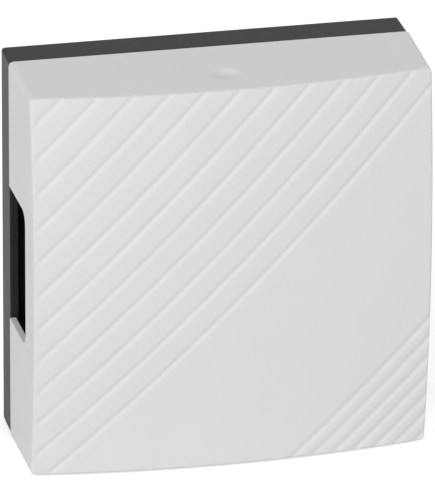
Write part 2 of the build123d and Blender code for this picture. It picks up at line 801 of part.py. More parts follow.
block_screw_sizes = (block_screw_head, block_screw_head_height, block_screw, block_depth + block_screw_bite)
with BuildPart() as block_screws:
    for x in (-pole_pitch / 2, pole_pitch / 2):
        add(slotted_screw((x, -block_drop), block_front, *block_screw_sizes))

# Leads from the solder pins, round the cable entry, into the outer poles
leads = {}
pins_end = lug_bottom + solder_pin_length
block_top = block_drop - block_height / 2
high, low, turn = [pins_end + share * (block_top - pins_end) for share in lead_drop_shares]
for side in (-1, 1):
    route = [
        (lug_place, lug_back, -pins_end),
        (lug_place + lead_spread, (lug_back + clamp_depth) / 2, -high),
        (lug_place, clamp_depth, -low),
        (poles[-1] + lead_hook, clamp_depth, -turn),
        (poles[-1], clamp_depth, -block_top - lead_in_clamp),
    ]
    points = [Vector(side * x, -depth, z) for x, depth, z in route]
    runs = [b - a for a, b in zip(points, points[1:])]
    bends = [
        lead_bend_share * min(a.length, b.length) / tan(radians(a.get_angle(b)) / 2)
        for a, b in zip(runs, runs[1:])
    ]
    print("lead", side, "bend radii", [round(bend, 1) for bend in bends])
    with BuildPart() as lead:
        with BuildLine():
            path = FilletPolyline(*points, radius=bends)
        with BuildSketch(Plane(origin=path @ 0, z_dir=path % 0)):
            RegularPolygon(lead_diameter / 2, lead_sides)
        sweep()
    leads[side] = lead.part

pieces = {
    "cover": cover.part,
    "base": base.part,
    "coil_bobbin": coil_bobbin.part,
    "coil_winding": coil_winding.part,
    "coil_tape": coil_tape.part,
    "bobbin_pins": bobbin_pins.part,
    "magnet_yoke": magnet_yoke.part,
    "yoke_screws": yoke_screws.part,
    "plunger_core": plunger_core.part,
    "striker_tip_left": striker_tip_left,
    "striker_tip_right": striker_tip_right,
    "return_spring": return_spring.part,
    "tone_bar_low": tone_bars["tone_bar_low"],
    "tone_bar_high": tone_bars["tone_bar_high"],
    "grommets_left": hangers[-1],
    "grommets_right": hangers[1],
    "retaining_washers": retaining_washers.part,
    "terminal_block": terminal_block.part,
    "terminal_clamps": terminal_clamps.part,
    "terminal_screws": terminal_screws.part,
    "block_screws": block_screws.part,
    "coil_lead_left": leads[-1],
    "coil_lead_right": leads[1],
}

print("spring gap between turns", round(spring_pitch - spring_wire, 2))
os.makedirs("parts", exist_ok=True)
for name, piece in pieces.items():
    piece.label = name
    export_step(piece, f"parts/{name}.step")
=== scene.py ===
# %% [markdown]
# # A two-tone wall chime, dressed in Blender
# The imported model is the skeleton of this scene: every piece below stands where the model has it,
# in metres, with +X to the right, -Y out of the wall and +Z up. The model's own meshes are coarse,
# so most of them are replaced by finer ones of the same size. The row frame never changes.

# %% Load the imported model
import json
import math

import bmesh
import bpy
from mathutils import Matrix, Vector

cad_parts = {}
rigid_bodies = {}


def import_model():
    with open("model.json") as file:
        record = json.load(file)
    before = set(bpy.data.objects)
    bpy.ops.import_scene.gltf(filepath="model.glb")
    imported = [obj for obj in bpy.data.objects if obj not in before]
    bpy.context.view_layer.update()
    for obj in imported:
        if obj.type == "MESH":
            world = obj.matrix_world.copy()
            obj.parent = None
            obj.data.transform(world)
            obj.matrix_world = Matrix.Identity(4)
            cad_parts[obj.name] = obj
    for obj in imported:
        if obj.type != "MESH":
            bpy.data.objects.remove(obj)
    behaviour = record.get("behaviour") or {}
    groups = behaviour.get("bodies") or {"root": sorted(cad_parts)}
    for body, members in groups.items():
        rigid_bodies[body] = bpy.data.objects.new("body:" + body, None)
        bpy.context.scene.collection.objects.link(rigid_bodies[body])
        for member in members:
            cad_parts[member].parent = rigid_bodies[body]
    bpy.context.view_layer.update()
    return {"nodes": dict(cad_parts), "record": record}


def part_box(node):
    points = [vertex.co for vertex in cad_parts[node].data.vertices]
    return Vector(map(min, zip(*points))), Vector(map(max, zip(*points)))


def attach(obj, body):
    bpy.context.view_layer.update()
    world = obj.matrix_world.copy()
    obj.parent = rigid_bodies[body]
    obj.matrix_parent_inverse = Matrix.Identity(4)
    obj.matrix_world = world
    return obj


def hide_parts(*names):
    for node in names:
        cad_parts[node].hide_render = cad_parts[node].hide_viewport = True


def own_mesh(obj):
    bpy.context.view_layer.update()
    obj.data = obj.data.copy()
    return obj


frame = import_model()
mm = 0.001
print("pieces in the model:", len(frame["nodes"]))

# %% [markdown]
# ## Camera
# The photograph looks down on the box from its upper left, from far away, so that parallel edges
# stay nearly parallel. The camera's place and turn were worked out from the corners of the box in
# the photograph. It could be aimed with a Track To constraint, but a fixed matrix also keeps the
# small roll of the picture.

# %% Camera
# The picture is taller than it is wide, so the sensor's width lies along the picture's height.
sensor_width = 36
focal_pixels = 6592.8
picture_height = 495
eye = Vector((-0.4018, -1.7539, 0.7693))
to_right = Vector((0.974768, -0.223099, 0.007308))
to_bottom = Vector((-0.082046, -0.388538, -0.917773))
ahead = Vector((0.207594, 0.894016, -0.397039))


def linked(name, data):
    made = bpy.data.objects.new(name, data)
    bpy.context.scene.collection.objects.link(made)
    return made


camera_data = bpy.data.cameras.new("camera")
camera_data.sensor_width = sensor_width
camera_data.lens = sensor_width * focal_pixels / picture_height
camera = linked("camera", camera_data)
camera.matrix_world = Matrix.Translation(eye) @ Matrix((to_right, -to_bottom, -ahead)).transposed().to_4x4()
bpy.context.scene.camera = camera
bpy.context.scene.view_settings.view_transform = "Standard"
print("lens in millimetres:", round(camera_data.lens, 1))

# %% [markdown]
# ## Light
# The box was lit by a large tent: the front is the brightest side, the left side a little darker
# and the top darker still. One broad sun from the upper left over an even sky gives just that, and
# the shallow grooves get one bright and one dim wall. A weak and very broad second sun from the
# right stands for the far side of the tent. The sky itself is seen, and mirrored, as plain white.
# Lamps near the box would light it too, but their light would fall off across the front.

# %% Sky
# The first background lights the scene, and the second one is what is seen of the sky.
sky_light = 0.51


def add_node(tree, kind, settings=(), inputs=()):
    made = tree.nodes.new(kind)
    for label, value in dict(settings).items():
        setattr(made, label, value)
    for socket, value in dict(inputs).items():
        made.inputs[socket].default_value = value
    return made


def wire(tree, source, output, target, entry):
    tree.links.new(source.outputs[output], target.inputs[entry])


world = bpy.data.worlds.new("studio")
bpy.context.scene.world = world
world.use_nodes = True
sky = world.node_tree
sky.nodes.clear()
rays = sky.nodes.new("ShaderNodeLightPath")
seen = rays.outputs["Is Camera Ray"]
for kind in ("Is Glossy Ray", "Is Transmission Ray"):
    either = add_node(sky, "ShaderNodeMath", {"operation": "MAXIMUM"})
    sky.links.new(seen, either.inputs[0])
    wire(sky, rays, kind, either, 1)
    seen = either.outputs[0]
choose = sky.nodes.new("ShaderNodeMixShader")
sky.links.new(seen, choose.inputs["Fac"])
for socket, brightness in ((1, sky_light), (2, 1.0)):
    background = add_node(sky, "ShaderNodeBackground", (), {"Color": (1.0, 1.0, 1.0, 1.0), "Strength": brightness})
    wire(sky, background, 0, choose, socket)
sky.links.new(choose.outputs[0], sky.nodes.new("ShaderNodeOutputWorld").inputs["Surface"])
print("sky lights with", sky_light)

# %% Sun and fill
sun_strength, sun_spread = 1.26, 50
sun_from = Vector((-0.50, -0.72, 0.42))
fill_strength, fill_spread = 0.20, 120
fill_from = Vector((0.86, -0.45, 0.20))

for name, strength, spread, come_from in (
    ("sun", sun_strength, sun_spread, sun_from),
    ("fill", fill_strength, fill_spread, fill_from),
):
    lamp = bpy.data.lights.new(name, "SUN")
    lamp.energy = strength
    lamp.angle = math.radians(spread)
    light = linked(name, lamp)
    light.rotation_mode = "QUATERNION"
    light.rotation_quaternion = come_from.to_track_quat("Z", "Y")
    print(name, "from", [round(x, 2) for x in come_from.normalized()])

# %% [markdown]
# ## Floor
# The photograph stands on plain white. The floor is a large sheet of pale card under the box. The
# card is a little short of white in this light, so for the camera alone it glows by the rest, and
# the soft shadow of the box stays on it.

# %% Floor
floor_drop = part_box("cover")[0].z
floor_size = 12
card_colour = (0.90, 0.90, 0.90, 1.0)
card_glow = 0.50

bpy.ops.mesh.primitive_plane_add(size=floor_size, location=(0, 0, floor_drop))
floor = bpy.context.object
floor.name = "floor"
card = bpy.data.materials.new("pale_card")
card.use_nodes = True
tree = card.node_tree
tree.nodes.clear()
paper = add_node(tree, "ShaderNodeBsdfDiffuse", (), {"Color": card_colour})
glow = tree.nodes.new("ShaderNodeEmission")
strength = add_node(tree, "ShaderNodeMath", {"operation": "MULTIPLY"}, {1: card_glow})
path = tree.nodes.new("ShaderNodeLightPath")
both = tree.nodes.new("ShaderNodeAddShader")
surface = tree.nodes.new("ShaderNodeOutputMaterial")
wire(tree, path, "Is Camera Ray", strength, 0)
wire(tree, strength, 0, glow, "Strength")
wire(tree, paper, 0, both, 0)
wire(tree, glow, 0, both, 1)
wire(tree, both, 0, surface, "Surface")
floor.data.materials.append(card)
print("floor at", round(floor_drop, 4))

# %% [markdown]
# ## Skins that several materials share
# Nothing real has one flat colour. A shader node group makes the small changes of a surface once,
# and each material places it with its own values. The groups only put out masks and heights, and
# each material turns these into colour, roughness and relief.


# %% Helpers for node groups
def new_group(name, numbers, outputs):
    group = bpy.data.node_groups.new(name, "ShaderNodeTree")
    for label, value in numbers.items():
        socket = group.interface.new_socket(label, in_out="INPUT", socket_type="NodeSocketFloat")
        socket.default_value = value
    for label in outputs:
        group.interface.new_socket(label, in_out="OUTPUT", socket_type="NodeSocketFloat")
    print("skin:", name, "puts out", ", ".join(outputs))
    return group, group.nodes.new("NodeGroupInput"), group.nodes.new("NodeGroupOutput")


def noise(tree, scale, where, detail, roughness, target):
    """Adds a noise at the given place, of a scale that is a number or a socket, and links it to a target."""
    made = add_node(tree, "ShaderNodeTexNoise", (), {"Detail": detail, "Roughness": roughness})
    tree.links.new(where, made.inputs["Vector"])
    if isinstance(scale, bpy.types.NodeSocket):
        tree.links.new(scale, made.inputs["Scale"])
    else:
        made.inputs["Scale"].default_value = scale
    tree.links.new(made.outputs["Fac"], target)


# %% [markdown]
# A moulding takes its skin from the steel of the mould: fine spark-eroded grain, and very faint
# wide flow patches where the melt met. Two noises, one small and one large, do that.

# %% Moulded skin
moulded_skin, enter, leave = new_group(
    "moulded_skin", {"Grain Scale": 9000.0, "Flow Scale": 60.0}, ("Flow", "Grain")
)
place = moulded_skin.nodes.new("ShaderNodeTexCoord").outputs["Object"]
noise(moulded_skin, enter.outputs["Flow Scale"], place, 2.0, 0.5, leave.inputs["Flow"])
noise(moulded_skin, enter.outputs["Grain Scale"], place, 2.0, 0.6, leave.inputs["Grain"])

# %% [markdown]
# Rolled and turned metal has fine lines along or around the way it was worked, and a cloudy sheen
# from its plating. The noise is stretched by scaling its coordinates.

# %% Worked metal
line_scale = 12.0
worked_metal, enter, leave = new_group(
    "worked_metal",
    {"Across X": 400.0, "Across Y": 400.0, "Across Z": 20.0, "Cloud Scale": 180.0},
    ("Cloud", "Lines"),
)
place = worked_metal.nodes.new("ShaderNodeTexCoord").outputs["Object"]
stretch = worked_metal.nodes.new("ShaderNodeCombineXYZ")
for axis in "XYZ":
    wire(worked_metal, enter, f"Across {axis}", stretch, axis)
stretched = add_node(worked_metal, "ShaderNodeVectorMath", {"operation": "MULTIPLY"})
worked_metal.links.new(place, stretched.inputs[0])
wire(worked_metal, stretch, 0, stretched, 1)
noise(worked_metal, line_scale, stretched.outputs[0], 4.0, 0.5, leave.inputs["Lines"])
noise(worked_metal, enter.outputs["Cloud Scale"], place, 4.0, 0.5, leave.inputs["Cloud"])


# %% [markdown]
# ## The finishes
# One helper makes every material: it places a skin, mixes two close tones by the wide mask, lets
# the roughness follow it, and turns the fine mask into relief. Numbers that are the same all over
# sit on the shader itself.


# %% One helper for every finish
# A Mix node has sockets for each kind of value. These are the ones for colours.
colour_sockets = (6, 7)
mixed_colour = 2


def make_finish(slot, skin, tones, rough, relief, constants=(), skin_values=()):
    material = bpy.data.materials.new(slot)
    material.use_nodes = True
    tree = material.node_tree
    shader = tree.nodes["Principled BSDF"]
    for label, value in dict(constants).items():
        shader.inputs[label].default_value = value
    group = add_node(tree, "ShaderNodeGroup", {"node_tree": skin}, skin_values)
    wide, fine = group.outputs
    colours = {socket: (*tone, 1.0) for socket, tone in zip(colour_sockets, tones)}
    tone = add_node(tree, "ShaderNodeMix", {"data_type": "RGBA"}, colours)
    tree.links.new(wide, tone.inputs[0])
    wire(tree, tone, mixed_colour, shader, "Base Color")
    spread = add_node(tree, "ShaderNodeMapRange", (), {"To Min": rough[0], "To Max": rough[1]})
    tree.links.new(fine, spread.inputs["Value"])
    wire(tree, spread, 0, shader, "Roughness")
    bump = add_node(tree, "ShaderNodeBump", (), {"Strength": relief[0], "Distance": relief[1] * mm})
    tree.links.new(fine, bump.inputs["Height"])
    wire(tree, bump, 0, shader, "Normal")
    return material


# %% [markdown]
# The cover is white, matt moulding. Its grain is too fine to see as dots from here, but it breaks
# up the shine. The base is the same moulding in anthracite, with a slightly softer sheen.

# %% Plastics
finish = {}


def make_all(skin, table):
    for slot, values in table.items():
        finish[slot] = make_finish(slot, skin, *values)
    print("finishes:", ", ".join(table))


nylon = {"Subsurface Weight": 0.08, "Subsurface Scale": mm}
coated = {"Coat Weight": 0.4, "Coat Roughness": 0.15}
make_all(moulded_skin, {
    "cover_plastic": (((0.775, 0.780, 0.775), (0.795, 0.797, 0.793)), (0.52, 0.60), (0.25, 0.02)),
    "base_plastic": (((0.030, 0.028, 0.031), (0.036, 0.034, 0.037)), (0.16, 0.22), (0.35, 0.04),
                     {"Specular IOR Level": 0.04}),
    "bobbin_nylon": (((0.76, 0.73, 0.64), (0.81, 0.78, 0.70)), (0.38, 0.46), (0.15, 0.03), nylon),
    "striker_nylon": (((0.80, 0.78, 0.71), (0.84, 0.83, 0.77)), (0.30, 0.38), (0.10, 0.02), nylon),
    "block_plastic": (((0.70, 0.70, 0.66), (0.75, 0.75, 0.72)), (0.36, 0.44), (0.15, 0.03)),
    "grommet_rubber": (((0.016, 0.016, 0.017), (0.026, 0.026, 0.028)), (0.66, 0.80), (0.35, 0.06)),
    "coil_tape": (((0.78, 0.52, 0.07), (0.86, 0.62, 0.12)), (0.22, 0.32), (0.30, 0.06), coated,
                  {"Grain Scale": 1500.0, "Flow Scale": 220.0}),
    "lead_insulation": (((0.52, 0.020, 0.018), (0.60, 0.032, 0.026)), (0.28, 0.36), (0.12, 0.03)),
})

# %% [markdown]
# The metals: zinc-plated sheet for the yoke and screws, a turned core, dark browned bars, spring
# wire, tinned pins, brass clamps and enamelled copper. Zinc has a cloudy colour, brass a warm one,
# and the bars' browning is darker in some places than in others.

# %% Metals
metal = {"Metallic": 1.0}
browned = {"Metallic": 0.0}
enamelled = {"Metallic": 0.85, "Coat Weight": 0.6, "Coat Roughness": 0.12}
make_all(worked_metal, {
    "yoke_steel": (((0.56, 0.57, 0.58), (0.68, 0.68, 0.66)), (0.26, 0.42), (0.20, 0.02), metal),
    "screw_steel": (((0.54, 0.55, 0.57), (0.66, 0.66, 0.64)), (0.24, 0.38), (0.15, 0.01), metal,
                    {"Across Z": 400.0, "Cloud Scale": 900.0}),
    "core_steel": (((0.50, 0.50, 0.51), (0.60, 0.60, 0.60)), (0.20, 0.36), (0.25, 0.02), metal,
                   {"Across X": 700.0, "Across Y": 10.0, "Across Z": 10.0}),
    "spring_steel": (((0.38, 0.38, 0.40), (0.50, 0.50, 0.50)), (0.24, 0.36), (0.15, 0.01), metal,
                     {"Cloud Scale": 700.0}),
    "bar_steel": (((0.024, 0.019, 0.015), (0.036, 0.028, 0.022)), (0.24, 0.38), (0.25, 0.02), browned,
                  {"Across X": 400.0, "Across Y": 500.0, "Across Z": 14.0, "Cloud Scale": 70.0}),
    "tinned_pins": (((0.66, 0.66, 0.64), (0.78, 0.78, 0.76)), (0.18, 0.34), (0.20, 0.02), metal,
                    {"Cloud Scale": 1200.0}),
    "clamp_brass": (((0.62, 0.44, 0.17), (0.76, 0.58, 0.27)), (0.22, 0.38), (0.20, 0.02), metal,
                    {"Cloud Scale": 500.0}),
    "enamelled_copper": (((0.46, 0.13, 0.045), (0.60, 0.22, 0.08)), (0.20, 0.30), (0.10, 0.01), enamelled,
                         {"Cloud Scale": 400.0}),
})

# %% [markdown]
# ## The cover's front
# The front is a shallow dome cut square, with drafted sides. A dome could be a scaled sphere, but
# the grooves need a fine even grid, so the front is a grid of points laid on the dome. The grooves
# run along the grid's own diagonal, and so every groove meets the points in the same way.

# %% Sizes of the cover
cover_low, cover_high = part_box("cover")
rear = -cover_high.y
front = -cover_low.y
half = cover_high.x
crown = 10 * mm
corner_depth = front - rear - crown
side_draft = 0.55 * mm
draft = side_draft / corner_depth
wall = 1.8 * mm
edge_round = 0.85 * mm
corner_round = 1.25 * mm
corner = half - side_draft
dome_radius = (2 * corner**2 + crown**2) / (2 * crown)
groove_depth = 0.43 * mm
upper_first, upper_pitch, upper_count, upper_soft = 3.36 * mm, 7.36 * mm, 12, 0.52 * mm
lower_first, lower_pitch, lower_count, lower_soft = 54.43 * mm, 4.57 * mm, 7, 0.68 * mm
grooves = [(upper_first - upper_pitch * n, upper_soft) for n in range(upper_count)]
grooves += [(lower_first + lower_pitch * n, lower_soft) for n in range(lower_count)]
print("dome radius in millimetres:", round(dome_radius / mm, 1))


# %% Points on the dome and along the sides
def dome(x, z, inset=0.0):
    return front - dome_radius + math.sqrt((dome_radius - inset) ** 2 - x * x - z * z)


def side_at(depth, inset):
    return half - inset - draft * (depth - rear)


def rim(other, inset):
    reach = corner - inset
    for _ in range(4):
        reach = side_at(dome(reach, other, inset), inset)
    return reach


def rounded(x, z, reach_x, reach_z, turn):
    a, b = abs(x) - reach_x + turn, abs(z) - reach_z + turn
    if min(a, b) <= 0 or turn <= 0:
        return x, z, None
    share = max(a, b) / math.hypot(a, b)
    a, b = share * a, share * b
    angle = math.atan2(math.copysign(b, z), math.copysign(a, x))
    return math.copysign(reach_x - turn + a, x), math.copysign(reach_z - turn + b, z), angle


def on_front(u, v, inset, turn):
    x, z = u * corner, v * corner
    for _ in range(3):
        x, z = u * rim(z, inset), v * rim(x, inset)
    x, z, angle = rounded(x, z, rim(z, inset), rim(x, inset), turn)
    return Vector((x, -dome(x, z, inset), z)), angle


# %% [markdown]
# The skin is open at the back at first. Its rounded edges are part of the plan: the grid lies one
# edge radius inside the true surface, and every point is then lifted by that radius along its
# normal. Along the rim the normal turns from the dome's to the side's in a few steps. At the four
# corners the grid itself is bent into a quarter circle, so the normal turns there as well. A Bevel
# modifier rounds edges too, but where three rounded edges meet on a fine grid it folds faces over
# each other.

# %% Rings of points
def perimeter(count):
    last = count - 1
    walks = [[(n, 0) for n in range(last)], [(last, n) for n in range(last)]]
    walks += [[(last - n, last) for n in range(last)], [(0, last - n) for n in range(last)]]
    return [(i, j, math.radians(90 * turn - 90)) for turn, walk in enumerate(walks) for i, j in walk]


def band(bm, first, second):
    """Joins two rings of points with faces. A ring may be a single point."""
    count, faces = max(len(first), len(second)), []
    for n in range(count):
        walk = ((first, n), (first, n + 1), (second, n + 1), (second, n))
        kept = list(dict.fromkeys(ring[at % count % len(ring)] for ring, at in walk))
        if len(kept) > 2:
            faces.append(bm.faces.new(kept))
    return faces


# %% Open skin of dome and sides
dome_centre = Vector((0, dome_radius - front, 0))


def open_skin(bm, lines, shares, inset, radius, turn, steps):
    laid = [[on_front(u, v, inset + radius, turn) for v in lines] for u in lines]
    core = [[point for point, angle in row] for row in laid]
    lift = [[(point - dome_centre).normalized() for point in row] for row in core]
    grid = [[bm.verts.new(p + radius * n) for p, n in zip(*rows)] for rows in zip(core, lift)]
    for i in range(len(lines) - 1):
        for j in range(len(lines) - 1):
            bm.faces.new((grid[i][j], grid[i + 1][j], grid[i + 1][j + 1], grid[i][j + 1]))
    stops = [(i, j, laid[i][j][1] if laid[i][j][1] is not None else flat) for i, j, flat in perimeter(len(lines))]
    above = [grid[i][j] for i, j, angle in stops]
    for step in range(1, steps + 1):
        below = []
        for i, j, angle in stops:
            side = Vector((math.cos(angle), -draft, math.sin(angle))).normalized()
            below.append(bm.verts.new(core[i][j] + radius * lift[i][j].slerp(side, step / steps)))
        band(bm, above, below)
        above = below
    ends = [-vert.co.y for vert in above]
    for share in shares:
        below = []
        for (i, j, angle), end in zip(stops, ends):
            depth = rear + share * (end - rear)
            reach = side_at(depth, inset + radius)
            x, z, _ = rounded(lines[i] * reach, lines[j] * reach, reach, reach, turn)
            below.append(bm.verts.new((x + radius * math.cos(angle), -depth, z + radius * math.sin(angle))))
        band(bm, above, below)
        above = below


def even_lines(cells):
    return [2 * n / cells - 1 for n in range(cells + 1)]


# Rows of points down the sides, as shares of their depth. They are closest at the thumb mark.
side_rows = [0.9] + [0.80 - 0.02 * n for n in range(18)] + [0.25, 0.0]
fine_cells = 256
rim_steps = 4
shell = bmesh.new()
open_skin(shell, even_lines(fine_cells), side_rows, 0.0, edge_round, corner_round - edge_round, rim_steps)
print("outer skin faces:", len(shell.faces))

# %% [markdown]
# ## Grooves and thumb mark
# Each groove is pressed in by lowering the points within its width, never raising one, so that it
# fades out in the rounding of the rim as the real ones do. Its section is a soft bell. At the left
# edge the grooves start a little way in, so their depth grows from nothing there. The thumb mark is
# a soft dish in the top wall, pressed in the same way.

# %% Press in the grooves and the thumb mark
dish_place = Vector((0, -rear - 20.5 * mm, 0))
top_skin = 1.2 * mm
dish_reach = 3.4 * mm
dish_depth = 0.95 * mm
dish_fade = 1.6
plain_margin = 0.6 * mm
run_out = 1.6 * mm


def groove_sink(x, z):
    across = (x - z) / math.sqrt(2)
    away, soft_half = min((abs(across - place), soft_half) for place, soft_half in grooves)
    share = min(1.0, max(0.0, (x + corner - plain_margin) / run_out))
    return share * groove_depth * math.exp(-0.5 * (away / soft_half) ** 2)


dished = 0
for vert in shell.verts:
    x, y, z = vert.co
    if -y > rear + corner_depth - edge_round:
        vert.co.y = max(y, -(dome(x, z) - groove_sink(x, z)))
    far = math.hypot(x - dish_place.x, y - dish_place.y) / dish_reach
    if z > half - top_skin and far < dish_fade:
        vert.co.z -= dish_depth * math.exp(-(far**4))
        dished += 1
print("grooves:", len(grooves), "points in the thumb mark:", dished)

# %% [markdown]
# ## Inside of the cover
# Inside, the moulding follows the outside at one wall's thickness, but without the grooves. It is
# the same skin again, coarser, turned inside out. The rear rim between the two loops is filled
# with triangles, which is how a ring with two different edges is closed.

# %% Inner skin and rear rim
coarse_cells = 48
coarse_steps = 2
inner_edge = 0.4 * mm
inner_corner = 0.6 * mm
before = set(shell.faces)
open_skin(shell, even_lines(coarse_cells), [0.5, 0.0], wall, inner_edge, inner_corner, coarse_steps)
bmesh.ops.reverse_faces(shell, faces=[f for f in shell.faces if f not in before])
bmesh.ops.remove_doubles(shell, verts=shell.verts, dist=1e-7)
loose = [e for e in shell.edges if len(e.link_faces) == 1]
bmesh.ops.triangle_fill(shell, use_beauty=True, use_dissolve=False, edges=loose, normal=(0, 1, 0))
bmesh.ops.recalc_face_normals(shell, faces=shell.faces)


def open_edges(bm):
    return sum(len(edge.link_faces) != 2 for edge in bm.edges)


def to_mesh(bm, name):
    mesh = bpy.data.meshes.new(name)
    bm.to_mesh(mesh)
    bm.free()
    return mesh


print("open edges in the shell:", open_edges(shell))
cover_mesh = to_mesh(shell, "cover_moulding")

# %% [markdown]
# ## Notches, pusher and catch
# A notch in each side lets the sound of its bar out. Under the thumb mark the moulding has a round
# pusher and a catch, and at the bottom two locating ribs. They are added and cut with Boolean
# modifiers: blocks drawn as outlines and pushed through, so that each keeps its true section.

# %% Blocks for adding and cutting
arc_steps = 8


def quarter_arc(middle, radius, start):
    turns = [math.radians(start + 90 * n / arc_steps) for n in range(arc_steps + 1)]
    return [(middle[0] + radius * math.cos(t), middle[1] + radius * math.sin(t)) for t in turns]


def pushed(bm, outline, axis, low, high):
    """Draws an outline in the two axes other than the given one, and pushes it along that one."""
    spot = "xyz".index(axis)
    ends = [[bm.verts.new((*point[:spot], depth, *point[spot:])) for point in outline] for depth in (low, high)]
    faces = [bm.faces.new(ends[0]), bm.faces.new(list(reversed(ends[1])))]
    bmesh.ops.recalc_face_normals(bm, faces=faces + band(bm, *ends))


# %% Running modifiers and reading back
def absorb(bm, mesh):
    bm.from_mesh(mesh)
    bpy.data.meshes.remove(mesh)
    return bm


def remove_whole(thing):
    data = thing.data
    bpy.data.objects.remove(thing)
    bpy.data.batch_remove((data,))


def read_back(work):
    """Returns an object's mesh with its modifiers applied, and removes the object."""
    mesh = bpy.data.meshes.new_from_object(work.evaluated_get(bpy.context.evaluated_depsgraph_get()))
    remove_whole(work)
    return mesh


def helper_object(bm, name):
    return linked(name, to_mesh(bm, name))


def apply_tools(mesh, *steps):
    """Runs Boolean steps on a mesh. Each step is DIFFERENCE or UNION and its tool, which is used up."""
    work = linked("work", mesh)
    for kind, tool in steps:
        change = work.modifiers.new(kind, "BOOLEAN")
        change.operation = kind
        change.solver = "EXACT"
        change.use_self = False
        change.object = tool
    result = absorb(bmesh.new(), read_back(work))
    for _, tool in steps:
        remove_whole(tool)
    return result


# %% [markdown]
# The catch has a slope behind and a flat in front, where the base's latch tongue hooks in. The
# pusher reaches down to the tongue, so that pressing the thumb mark frees the cover.

# %% Catch
catch_back, catch_long, catch_flat, catch_high = rear + 13.2 * mm, 2.2 * mm, 1.1 * mm, 1.5 * mm
catch_half = 6 * mm


def inner_side(depth):
    return side_at(depth, wall)


catch_front = catch_back + catch_long
catch_low = inner_side(catch_front) - catch_high
catch_outline = [(-catch_back, inner_side(catch_back) + share * wall) for share in (1 / 2, 1 / 9)]
catch_outline += [(-catch_front + catch_flat, catch_low), (-catch_front, catch_low)]
catch_outline += [(-catch_front, inner_side(catch_front) + wall / 2)]
inner_features = bmesh.new()
pushed(inner_features, catch_outline, "x", -catch_half, catch_half)
print("catch stands in by", round((inner_side(catch_front) - catch_low) / mm, 2))


# %% Pusher
def around(count):
    return [2 * math.pi * n / count for n in range(count)]


def lathe(bm, profile, place, segments):
    """Turns a profile of (along, out) points round the x axis of the given place."""
    rings = []
    for along, out in profile:
        turns = around(segments if out else 1)
        rings.append([bm.verts.new(place @ Vector((along, out * math.cos(t), out * math.sin(t)))) for t in turns])
    for first, second in zip(rings, rings[1:]):
        band(bm, first, second)


pusher_radius, pusher_long, pusher_soft = 2.5 * mm, 2.5 * mm, 0.5 * mm
pusher_segments = 48
pusher_root, pusher_low = [inner_side(-dish_place.y) + reach for reach in (wall / 3, -pusher_long)]
pusher_profile = [(pusher_low, 0), (pusher_low, pusher_radius - pusher_soft)]
pusher_profile += [(pusher_low + 0.3 * pusher_soft, pusher_radius - 0.3 * pusher_soft)]
pusher_profile += [(pusher_low + pusher_soft, pusher_radius), (pusher_root, pusher_radius), (pusher_root, 0)]
upright = Matrix.Rotation(-math.pi / 2, 4, "Y")
lathe(inner_features, pusher_profile, Matrix.Translation(dish_place) @ upright, pusher_segments)
print("pusher reaches down to", round(pusher_low / mm, 2))

# %% Locating ribs
guide_place, guide_half, guide_high, guide_long = 34 * mm, 1 * mm, 2.4 * mm, 9 * mm
guide_root, guide_top = wall / 2 - half, wall + guide_high - half
for side in (-guide_place, guide_place):
    rib = [(side - guide_half, guide_root), (side + guide_half, guide_root)]
    rib += [(side + guide_half, guide_top), (side - guide_half, guide_top)]
    pushed(inner_features, rib, "y", -rear - guide_long, -rear)
bmesh.ops.recalc_face_normals(inner_features, faces=inner_features.faces)
print("faces to add inside:", len(inner_features.faces))

# %% Notch cutter
notch_high = 42.2 * mm
notch_deep = 21.4 * mm
notch_round = 4 * mm
overrun = mm

notch_cutter = bmesh.new()
deep_end, arc_level = notch_round - rear - notch_deep, notch_high / 2 - notch_round
notch_outline = quarter_arc((deep_end, arc_level), notch_round, 90)
notch_outline += quarter_arc((deep_end, -arc_level), notch_round, 180)
notch_outline += [(-rear + overrun, -notch_high / 2), (-rear + overrun, notch_high / 2)]
pushed(notch_cutter, notch_outline, "x", -half - overrun, half + overrun)
print("notch cutter faces:", len(notch_cutter.faces))

# %% [markdown]
# ## From mesh to piece
# Every piece is placed in the same way. Its faces are shaded smooth, and only edges sharper than a
# limit stay crisp. It gets one finish, rides on its body, and takes the place of its own part of
# the model.


# %% Place the cover
def crisp(bm, limit):
    for face in bm.faces:
        face.smooth = True
    for edge in bm.edges:
        edge.smooth = len(edge.link_faces) == 2 and edge.calc_face_angle(0) < math.radians(limit)
    return bm


def placed_mesh(mesh, name, slot, body, node):
    mesh.name = name
    mesh.materials.clear()
    mesh.materials.append(finish[slot])
    piece = linked(name, mesh)
    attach(piece, body)
    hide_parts(node)
    print(name, "faces:", len(mesh.polygons))
    return piece


def piece_from(bm, name, slot, body, node, limit=35):
    return placed_mesh(to_mesh(crisp(bm, limit), name), name, slot, body, node)


cover_bm = apply_tools(
    cover_mesh,
    ("UNION", helper_object(inner_features, "inner_features")),
    ("DIFFERENCE", helper_object(notch_cutter, "notch_cutter")),
)
print("open edges in the cover:", open_edges(cover_bm))
piece_from(cover_bm, "cover_moulding", "cover_plastic", "cover", "cover", limit=40)

# %% [markdown]
# ## Pieces with the model's own shape
# The base, yoke, bobbin, bars, block, clamps and pins have the right shape in the model, but their
# edges are knife sharp, and its meshes are loose triangles. A copy of each mesh is merged, its flat
# triangles are joined into whole faces, and a Bevel modifier eases the edges. A Weighted Normal
# modifier then lets the large flat faces shade evenly. The model's own mesh isn't touched. Real
# mouldings and cut sheet always have such a small radius, which catches light.

# %% Eased copies
merge_reach = 0.002 * mm
flat_angle = 0.4
ease_segments = 2
ease_angle = 28
crisp_angle = 32


